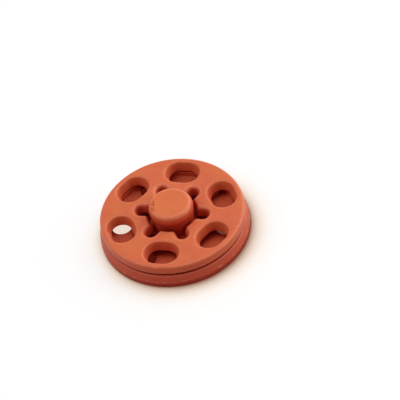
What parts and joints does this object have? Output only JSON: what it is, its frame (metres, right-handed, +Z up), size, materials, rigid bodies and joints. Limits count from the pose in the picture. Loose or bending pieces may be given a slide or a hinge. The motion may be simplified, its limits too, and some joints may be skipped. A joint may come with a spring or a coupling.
{
  "type": "sew-on snap fastener",
  "caption": "Round moulded plastic sew-on snap fastener: a socket half with a star-shaped mouth snapped onto a rimmed stud half, both with flared oval sewing holes.",
  "frame": {"origin": "middle of the stud half's flat back, on the stud's axis", "axes": "+Z up the stud, from the stud half's back to the socket half's face; +X through the middle of one of the stud half's sewing holes"},
  "size_m": [0.0216, 0.0216, 0.0056],
  "materials": {
    "stud_plastic": "satin",
    "socket_plastic": "satin"
  },
  "bodies": {
    "stud_half": {"stud_half": "stud_plastic"},
    "socket_half": {"socket_half": "socket_plastic"}
  },
  "joints": [
    {"name": "snap_pull", "type": "slide", "parent": "stud_half", "child": "socket_half", "axis": [0, 0, 1], "range_m": [0, 0.006]}
  ]
}
